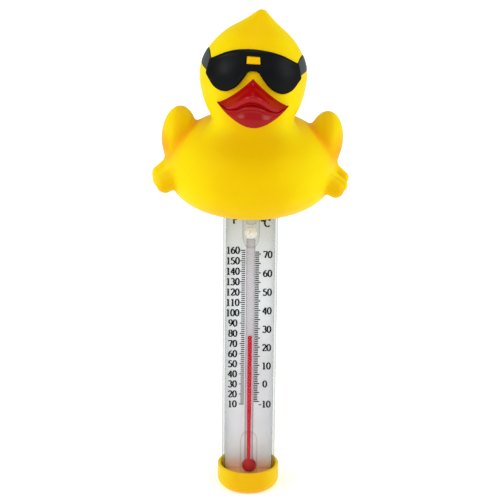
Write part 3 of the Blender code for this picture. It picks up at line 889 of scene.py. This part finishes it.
TUBE_WALL, TUBE_EDGE = 1.2, 0.25
CAP_WALL, CAP_FILLET, CAP_LIP = 1.45, 4.6, 0.55
CAP_WELL_R, CAP_WELL_FLOOR, CAP_LEDGE = 9.8, 1.5, 3.0


def make_tube(look):
    low, high = mm_box("clear_tube")
    r, bore = high[0], high[0] - TUBE_WALL
    z0, z1 = low[2], high[2]
    edge = TUBE_EDGE
    profile = [(r - edge, z1), (r, z1 - edge), (r, z0 + edge), (r - edge, z0)]
    profile += [(bore + edge, z0), (bore, z0 + edge), (bore, z1 - edge), (bore + edge, z1)]
    return wear(turned("tube_clear", profile), look)


def make_cap(yellow):
    high = mm_box("bottom_cap")[1]
    r, top = high[0], high[2]
    inner = r - CAP_WALL
    profile = arc(inner + CAP_LIP, top - CAP_LIP, CAP_LIP, 180, 90, 5)
    profile += arc(r - CAP_LIP, top - CAP_LIP, CAP_LIP, 90, 0, 6)
    profile += [(r, top * 0.6)]
    profile += arc(r - CAP_FILLET, CAP_FILLET, CAP_FILLET, 0, -90, 14)
    profile += [(4.0, 0.0), (0.0, 0.0), (0.0, CAP_WELL_FLOOR), (CAP_WELL_R, CAP_WELL_FLOOR)]
    profile += [(CAP_WELL_R, CAP_LEDGE), (inner, CAP_LEDGE)]
    cap = turned("cap_cup", profile)
    across = np.abs([v.co.x for v in cap.data.vertices]) / (r * MM)
    # Painted shade: golden in the middle of the cap, lemon towards its sides where the side lamps fall
    mask(cap, "painted_shade", 1.0 - 0.85 * ease((across - 0.3) / 0.6))
    return wear(cap, yellow)


# Thermometer: its stem, its bulb with the ball of spirit, the thread of spirit, the bead and the two sleeves

GLASS_X, GLASS_Y = 0.2, -3.3
STEM_R, STEM_TOP_R = 2.05, 0.6
BULB_Z, BULB_R, BALL_R = 11.2, 3.3, 3.05
# Above the bulb's middle, where the stem begins to be drawn in close rows and where it ends
CLOSE_ROWS, STEM_FOOT = 6.0, 3.4
# The bulb end is wider and further to the viewer's right, and this fades out above the bulb's middle
BALL_WIDE, BALL_OFF = 1.1, 0.3
WIDE_TO, WIDE_FADE = 5.5, 3.5
THREAD_R = 1.02
THREAD_FOOT = BULB_Z + 2.0
# From its shoulder down the thread grows a little narrower
SHOULDER_Z, SHOULDER_LONG, SHOULDER_STEP = 38.0, 5.0, 0.16
REST_LEVEL = 77.3
ROUND_END = 1.0
LOW_SLEEVE_R, LOW_SLEEVE_TOP, LOW_SLEEVE_FOOT = 4.15, 28.2, 7.9
HIGH_SLEEVE_R, HIGH_SLEEVE_BORE = 4.0, 2.35
HIGH_SLEEVE_TIP, HIGH_SLEEVE_FLOOR = 120.8, 131.6


def turned_on_stem(name, profile, look, steps=64):
    return wear(turned(name, profile, steps, (GLASS_X, GLASS_Y)), look)


def widened(obj):
    """The bulb end drawn a little wide and off centre, as hand-blown bulbs are."""
    for v in obj.data.vertices:
        share = float(ease((BULB_Z + WIDE_TO - v.co.z / MM) / WIDE_FADE))
        v.co.x += share * ((v.co.x - GLASS_X * MM) * (BALL_WIDE - 1.0) + BALL_OFF * MM)
    return obj


def make_glass(look):
    """The stem and bulb as one clear form; the thread and ball inside it show through."""
    top = mm_box("thermometer_glass")[1][2]
    neck = 84.0 - math.degrees(math.asin(STEM_R / BULB_R))
    outline = [(0.0, top)] + arc(STEM_R - STEM_TOP_R, top - STEM_TOP_R, STEM_TOP_R, 90, 0, 5)
    outline += [(STEM_R, z) for z in np.linspace(BULB_Z + CLOSE_ROWS, BULB_Z + STEM_FOOT, 8)]
    outline += arc(0.0, BULB_Z, BULB_R, neck, -90, 22)
    outline[-1] = (0.0, BULB_Z - BULB_R)
    return widened(turned_on_stem("thermometer_glass_body", outline, look))


def make_ball(look):
    ball = arc(0.0, BULB_Z, BALL_R, 90, -90, 28)
    ball[0], ball[-1] = (0.0, BULB_Z + BALL_R), (0.0, BULB_Z - BALL_R)
    return widened(turned_on_stem("spirit_ball", ball, look))


def make_thread(look):
    rows = [(0.0, REST_LEVEL), (THREAD_R * 0.7, REST_LEVEL - 0.05), (THREAD_R, REST_LEVEL - 0.35)]
    for z in np.linspace(REST_LEVEL - ROUND_END, THREAD_FOOT, 80):
        rows.append((THREAD_R - SHOULDER_STEP * float(ease((SHOULDER_Z - z) / SHOULDER_LONG)), z))
    rows.append((0.0, THREAD_FOOT))
    return turned_on_stem("spirit_thread", rows, look, 32)


def make_bead(look):
    low, high = mm_box("stem_tip_seal")
    z0, middle, z1 = low[2], (low[2] + high[2]) / 2, high[2]
    outline = [(0.0, z1), (1.5, z1 - 0.3), (2.6, middle + 0.9), (2.8, middle - 0.4)]
    outline += [(2.3, z0 + 0.7), (1.4, z0), (0.0, z0)]
    outline = [(max(0.0, r), z) for r, z in curve_through(outline, 5)]
    return turned_on_stem("glue_bead", outline, look)


def make_lower_sleeve(look):
    """A round-topped bullet over the bulb."""
    drops = ((2.2, 0.2), (3.1, 0.9), (3.8, 2.5), (4.1, 4.8), (LOW_SLEEVE_R, 7.2))
    shoulder = curve_through([(r, LOW_SLEEVE_TOP - drop) for r, drop in drops], 5)
    outline = [(0.0, LOW_SLEEVE_TOP)] + shoulder.tolist()
    outline += [(LOW_SLEEVE_R, LOW_SLEEVE_FOOT), (0.0, LOW_SLEEVE_FOOT)]
    return turned_on_stem("sleeve_low", outline, look)


def make_upper_sleeve(look):
    """A tapered collar from the stem's top end up into the duck."""
    top = mm_box("upper_sleeve")[1][2]
    rises = ((HIGH_SLEEVE_R, 6.7), (3.9, 4.8), (3.2, 2.0), (2.2, 0.2))
    taper = curve_through([(r, HIGH_SLEEVE_TIP + rise) for r, rise in rises], 5)
    outline = [(HIGH_SLEEVE_BORE, top), (HIGH_SLEEVE_R, top)] + taper.tolist()
    outline += [(0.0, HIGH_SLEEVE_TIP), (0.0, HIGH_SLEEVE_FLOOR)]
    outline += [(HIGH_SLEEVE_BORE, HIGH_SLEEVE_FLOOR + 0.8)]
    return turned_on_stem("sleeve_high", outline, look)


# Card and print

CARD_EDGE = 0.12
# Two marks of the Fahrenheit scale: height and degrees
LOW_MARK, HIGH_MARK = (41.0, 10.0), (118.0, 160.0)
CELSIUS_DROP = 0.7
# Where the marks start, where a short and a long one end, and how thick they are
F_MARK, C_MARK = (-2.3, -4.0, -4.6, 0.46), (2.35, 4.1, 4.9, 0.52)
# The right-hand end of the Fahrenheit numbers, and how much further out those with two digits sit
F_NUMBER_X, F_TWO_DIGITS = -4.9, 0.9
C_NUMBER_X, C_ODD_NUMBER_X = 6.0, {-10: 4.5, 0: 6.5}
C_NUMBER_DROP, C_FIRST_DROP = 0.2, 1.3
DIGIT_HEIGHT, F_LETTER_HEIGHT, C_LETTER_HEIGHT = 3.4, 3.6, 3.888
F_LETTERS_AT, C_LETTERS_AT = (-9.7, 131.0), (4.8, 129.5)
INK_OUT, INK_THICK = 0.03, 0.02
# In letter heights: half the pen's width going up or down and going across, and the room of each sign
THICK, THIN = 0.115, 0.066
ADVANCE = {"-": 0.50, "F": 0.66, "C": 0.74, "o": 0.36}
DIGIT_ADVANCE = 0.62


def make_card(look):
    low, high = mm_box("scale_card")
    bm = bmesh.new()
    size = Matrix.Diagonal(Vector((high - low) * MM)).to_4x4()
    middle = Matrix.Translation(Vector((high + low) / 2 * MM))
    bmesh.ops.create_cube(bm, size=1.0, matrix=middle @ size)
    mesh = bpy.data.meshes.new("card_sheet")
    bm.to_mesh(mesh)
    bm.free()
    card = bpy.data.objects.new("card_sheet", mesh)
    bpy.context.scene.collection.objects.link(card)
    edge = card.modifiers.new("edge", "BEVEL")
    edge.width = CARD_EDGE * MM
    edge.segments = 2
    return wear(card, look)


def fahrenheit(f):
    """Height of a Fahrenheit mark."""
    (z0, f0), (z1, f1) = LOW_MARK, HIGH_MARK
    return z0 + (f - f0) * (z1 - z0) / (f1 - f0)


def celsius(c):
    """Height of a Celsius mark, which is printed a little low."""
    return fahrenheit(c * 1.8 + 32.0) - CELSIUS_DROP


def pen(*xy):
    """A stroke through points given as x, y, x, y."""
    return np.array(xy, float).reshape(-1, 2)


def sweep(cx, cy, rx, ry, start=0, end=360, count=20):
    """A stroke round an ellipse."""
    a = np.radians(np.linspace(start, end, count + 1))
    return np.column_stack([cx + rx * np.cos(a), cy + ry * np.sin(a)])


def digits():
    """Each digit as pen strokes in a box one unit high."""
    neck = np.vstack([sweep(0.30, 0.72, 0.21, 0.25, 165, -35, 16), [(0.09, 0.03)]])
    six = [sweep(0.56, 0.34, 0.48, 0.60, 100, 180, 14), sweep(0.31, 0.30, 0.22, 0.275)]
    return {
        "0": [sweep(0.31, 0.5, 0.235, 0.475)],
        "1": [pen(0.31, 0.97, 0.31, 0.02), pen(0.31, 0.96, 0.15, 0.84), pen(0.13, 0.015, 0.49, 0.015)],
        "2": [neck, pen(0.08, 0.03, 0.53, 0.03), pen(0.53, 0.03, 0.55, 0.17)],
        "3": [sweep(0.28, 0.745, 0.20, 0.23, 150, -80, 14), sweep(0.28, 0.27, 0.24, 0.26, 85, -155, 18)],
        "4": [
            pen(0.41, 0.96, 0.04, 0.30),
            pen(0.04, 0.29, 0.58, 0.29),
            pen(0.42, 0.96, 0.42, 0.02),
            pen(0.30, 0.015, 0.55, 0.015),
        ],
        "5": [
            pen(0.16, 0.95, 0.52, 0.95),
            pen(0.16, 0.95, 0.13, 0.54),
            sweep(0.27, 0.30, 0.24, 0.29, 118, -150, 18),
        ],
        "6": six,
        "7": [pen(0.08, 0.94, 0.55, 0.94), pen(0.54, 0.94, 0.26, 0.02), pen(0.08, 0.95, 0.08, 0.80)],
        "8": [sweep(0.31, 0.745, 0.19, 0.225), sweep(0.31, 0.27, 0.23, 0.255)],
        "9": [np.array([0.62, 1.0]) - stroke for stroke in six],
    }


def signs():
    """The minus sign, the degree ring and the unit letters, in a box one unit high."""
    return {
        "-": [pen(0.06, 0.40, 0.44, 0.40)],
        "o": [sweep(0.18, 0.82, 0.12, 0.14, count=14)],
        "C": [sweep(0.40, 0.5, 0.33, 0.48, 42, 318, 24), pen(0.64, 0.96, 0.64, 0.74)],
        "F": [
            pen(0.18, 0.98, 0.18, 0.02),
            pen(0.06, 0.97, 0.58, 0.97),
            pen(0.18, 0.52, 0.44, 0.52),
            pen(0.06, 0.015, 0.32, 0.015),
            pen(0.58, 0.97, 0.58, 0.80),
            pen(0.44, 0.60, 0.44, 0.44),
        ],
    }


def text_width(text, height):
    return sum(ADVANCE.get(ch, DIGIT_ADVANCE) for ch in text) * height


class Print:
    """Flat marks and writing at one depth, gathered for one mesh."""

    def __init__(self, y):
        self.y = y
        self.shapes = {**digits(), **signs()}
        self.points = []
        self.faces = []

    def mark(self, x0, x1, z, thick):
        k = len(self.points)
        low, high = z - thick / 2, z + thick / 2
        self.points += [(x0, self.y, low), (x1, self.y, low), (x1, self.y, high), (x0, self.y, high)]
        self.faces.append((k, k + 1, k + 2, k + 3))

    def stroke(self, path, height, left, base):
        """A flat ribbon along the path: wide where the pen goes up or down, thin where it goes across."""
        run = np.gradient(path, axis=0)
        run /= np.maximum(np.linalg.norm(run, axis=1, keepdims=True), 1e-9)
        half = (THIN + (THICK - THIN) * np.abs(run[:, 1]) ** 1.5)[:, None]
        side = np.column_stack([-run[:, 1], run[:, 0]]) * half
        first = len(self.points)
        for pair in zip(path + side, path - side):
            for x, z in pair:
                self.points.append((left + x * height, self.y, base + z * height))
        for k in range(first, len(self.points) - 2, 2):
            self.faces.append((k, k + 1, k + 3, k + 2))

    def write(self, text, height, left, base):
        for ch in text:
            for path in self.shapes[ch]:
                self.stroke(path, height, left, base)
            left += ADVANCE.get(ch, DIGIT_ADVANCE) * height


def print_fahrenheit(ink):
    inner, short, long, thick = F_MARK
    for f in range(10, 161, 2):
        z = fahrenheit(f)
        ink.mark(short if f % 10 else long, inner, z, thick)
        if f % 10 == 0:
            left = F_NUMBER_X - text_width(str(f), DIGIT_HEIGHT) - (F_TWO_DIGITS if f < 100 else 0.0)
            ink.write(str(f), DIGIT_HEIGHT, left, z - DIGIT_HEIGHT / 2)
    ink.write("oF", F_LETTER_HEIGHT, *F_LETTERS_AT)


def print_celsius(ink):
    inner, short, long, thick = C_MARK
    for c in range(-10, 72):
        z = celsius(c)
        ink.mark(inner, short if c % 5 else long, z, thick)
        if c % 10 == 0:
            drop = C_FIRST_DROP if c == -10 else C_NUMBER_DROP
            left = C_ODD_NUMBER_X.get(c, C_NUMBER_X)
            ink.write(str(c), DIGIT_HEIGHT, left, z - DIGIT_HEIGHT / 2 - drop)
    ink.write("oC", C_LETTER_HEIGHT, *C_LETTERS_AT)


def make_print(look):
    ink = Print(mm_box("scale_card")[0][1] - INK_OUT)
    print_fahrenheit(ink)
    print_celsius(ink)
    obj = to_object("scale_print", ink.points, ink.faces, smooth=False)
    thick = obj.modifiers.new("ink", "SOLIDIFY")
    thick.thickness = INK_THICK * MM
    thick.offset = 1.0
    return wear(obj, look)


# Stage, with its own lengths in metres

FLOOR_HALF_M = 4.0
FLOOR_GLOW, FLOOR_FAR_GLOW = 0.34, 0.6
FLOOR_NEAR_M, FLOOR_FAR_M = 0.3, 1.2
# The tent's level as the object sees it and as the camera does
TENT_FILL, TENT_SEEN = 0.6, 1.0
MIDDLE_M = (0.0, 0.0, 0.14)
# Each lamp: place, width and height, watts
LAMPS_M = {
    "key_left": ((-0.8, -0.4, 0.6), (0.4, 0.5), 3.3),
    "fill_right": ((0.85, -0.25, 0.5), (0.4, 0.5), 2.7),
    "top_soft": ((0.0, -0.1, 1.0), (0.3, 0.3), 1.2),
}
CAMERA_M = (-0.0002, -0.73575, 0.34855)
CAMERA_PITCH, CAMERA_ROLL = 17.36, 0.64
LENS_MM, SENSOR_MM = 119.7, 36.0


def floor_look():
    """White that glows a little, and more with distance, so that it runs into the tent's wall."""
    n = Nodes("floor_white")
    tone = n.mix(n.noise(3.0), FLOOR_WHITE, FLOOR_DULL)
    away = n.add("VectorMath", n.position())
    away.operation = "LENGTH"
    strength = n.remap(away.outputs["Value"], FLOOR_NEAR_M, FLOOR_FAR_M, FLOOR_GLOW, FLOOR_FAR_GLOW)
    paint = n.add("BsdfDiffuse", Color=tone, Roughness=0.9)
    return n.finish(n.add("AddShader", paint, n.add("Emission", Color=WHITE, Strength=strength)))


def pale_floor(cap_body):
    """The floor goes with the cap, which stands on it when it is pulled off too."""
    half = FLOOR_HALF_M / MM
    corners = [(-half, -half, 0.0), (half, -half, 0.0), (half, half, 0.0), (-half, half, 0.0)]
    floor = to_object("studio_floor", corners, [(0, 1, 2, 3)], smooth=False)
    wear(floor, floor_look())
    floor.parent = cap_body


def tent():
    """A white tent: the camera sees its wall as white, and the object sees it a little dimmer."""
    world = bpy.data.worlds.new("studio")
    bpy.context.scene.world = world
    world.use_nodes = True
    tree = world.node_tree
    background = tree.nodes["Background"]
    background.inputs["Color"].default_value = WHITE
    path = tree.nodes.new("ShaderNodeLightPath")
    level = tree.nodes.new("ShaderNodeMapRange")
    level.inputs["To Min"].default_value = TENT_FILL
    level.inputs["To Max"].default_value = TENT_SEEN
    tree.links.new(path.outputs["Is Camera Ray"], level.inputs["Value"])
    tree.links.new(level.outputs["Result"], background.inputs["Strength"])
    bpy.context.scene.view_settings.view_transform = "Standard"


def lamps():
    for name, (at, size, watts) in LAMPS_M.items():
        lamp = bpy.data.lights.new(name, "AREA")
        lamp.shape = "RECTANGLE"
        lamp.size, lamp.size_y = size
        lamp.energy = watts
        obj = bpy.data.objects.new(name, lamp)
        obj.location = at
        obj.rotation_euler = (Vector(MIDDLE_M) - Vector(at)).to_track_quat("-Z", "Y").to_euler()
        bpy.context.scene.collection.objects.link(obj)


def camera():
    data = bpy.data.cameras.new("photo_camera")
    data.lens = LENS_MM
    data.sensor_width = SENSOR_MM
    data.clip_start = 0.01
    obj = bpy.data.objects.new("photo_camera", data)
    tilt = Matrix.Rotation(math.radians(90.0 - CAMERA_PITCH), 4, "X")
    roll = Matrix.Rotation(math.radians(CAMERA_ROLL), 4, "Z")
    obj.matrix_world = Matrix.Translation(CAMERA_M) @ tilt @ roll
    bpy.context.scene.collection.objects.link(obj)
    bpy.context.scene.camera = obj


# Pieces in their places


def see_through(obj):
    """Clear pieces let light through to what lies behind them, so they cast no shadow."""
    obj.visible_shadow = False
    obj.visible_diffuse = False
    return obj


def place(obj, body, slot, *nodes):
    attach(obj, body)
    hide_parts(*nodes)


def place_duck(yellow):
    # The arms' mask paints a grey sheen onto the black
    arms = {"attribute": "arm", "blotch": 0.03, "dull": 0.22}
    # The bill's mask paints shade below the upper lip
    mouth = {"attribute": "deep", "blotch": 0.35, "dull": 0.12}
    black = lacquer("glasses_gloss", LENS_BLACK, ARM_SHEEN_GREY, 80.0, (0.34, 0.42), 0.007, **arms)
    red = lacquer("bill_lacquer", BILL_RED, BILL_SHADED_RED, 50.0, (0.1, 0.14), 0.017, **mouth)
    place(make_duck(yellow), "duck", "duck_vinyl", "duck_shell")
    place(make_glasses(black), "duck", "glasses_black", "sunglasses")
    place(make_plate(yellow), "duck", "duck_vinyl", "bridge_plate")
    place(make_bill(red), "duck", "bill_red", "bill")


def place_tube_and_cap(cap_yellow):
    tube_look = clear("tube_acrylic", TUBE_CLEAR, TUBE_GREY, power=2.6, gloss=0.006)
    place(see_through(make_tube(tube_look)), "tube", "clear_plastic", "clear_tube")
    place(make_cap(cap_yellow), "cap", "cap_plastic", "bottom_cap")


def place_thermometer():
    stem = clear("stem_glass", STEM_CLEAR, STEM_GREY, power=2.0)
    ball = lacquer("spirit_deep", BALL_RED, BALL_DARK, 500.0, (0.08, 0.12), 0.02)
    bead = clear("bead_glue", BEAD_CLEAR, BEAD_GREY, power=4.0, shine=0.1, gloss=0.012, milk=0.9)
    low = clear("sleeve_pvc", SLEEVE_CLEAR, SLEEVE_GREY, power=4.0, shine=0.1, haze=0.01)
    high = clear("sleeve_smoky", SMOKY_CLEAR, SMOKY_GREY, power=3.0, shine=0.1, haze=0.02)
    place(see_through(make_glass(stem)), "tube", "thermometer_glass", "thermometer_glass")
    place(make_ball(ball), "tube", "spirit", "spirit_fill")
    place(see_through(make_bead(bead)), "tube", "seal_bead", "stem_tip_seal")
    place(see_through(make_lower_sleeve(low)), "tube", "clear_plastic", "lower_sleeve")
    place(see_through(make_upper_sleeve(high)), "tube", "clear_plastic", "upper_sleeve")


def place_thread():
    """The thread of spirit, from above the bulb up to its resting level, with a round end."""
    thread = make_thread(lacquer("spirit_red", SPIRIT_RED, SPIRIT_DARK, 30.0, (0.3, 0.35), 0.004))
    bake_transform(thread)
    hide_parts("spirit_column", "spirit_meniscus")


def place_card():
    ink = matte("print_ink", INK_BLACK, INK_GREY, 500.0, 0.6, 0.05, specular=0.05)
    place(make_card(card_stock()), "tube", "card", "scale_card")
    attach(make_print(ink), "tube")


def dress_inner_parts(frame, yellow, cap_yellow):
    """Looks for the CAD bodies that are kept as they are."""
    looks = {
        "foam_pad": matte("foam_amber", AMBER, AMBER_DARK, 300.0, 0.95, 0.6),
        "foam_plug": matte("foam_white", FOAM, FOAM_GREY, 300.0, 0.95, 0.6),
        "ballast_slug": matte("ballast_metal", STEEL, STEEL_DARK, 150.0, 0.4, 0.1, metallic=1.0),
        "cap_seal_ring": matte("gasket_rubber", RUBBER, RUBBER_GREY, 200.0, 0.8, 0.1),
        "top_plug": cap_yellow,
        "socket_sleeve": cap_yellow,
        "vent_plug": yellow,
    }
    for name, look in looks.items():
        wear_node(frame, name, look)


def main():
    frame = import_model()
    camera()
    tent()
    lamps()
    pale_floor(frame["bodies"]["cap"])
    yellow = vinyl()
    cap_yellow = cap_plastic()
    place_duck(yellow)
    place_tube_and_cap(cap_yellow)
    place_thermometer()
    place_thread()
    place_card()
    dress_inner_parts(frame, yellow, cap_yellow)


main()
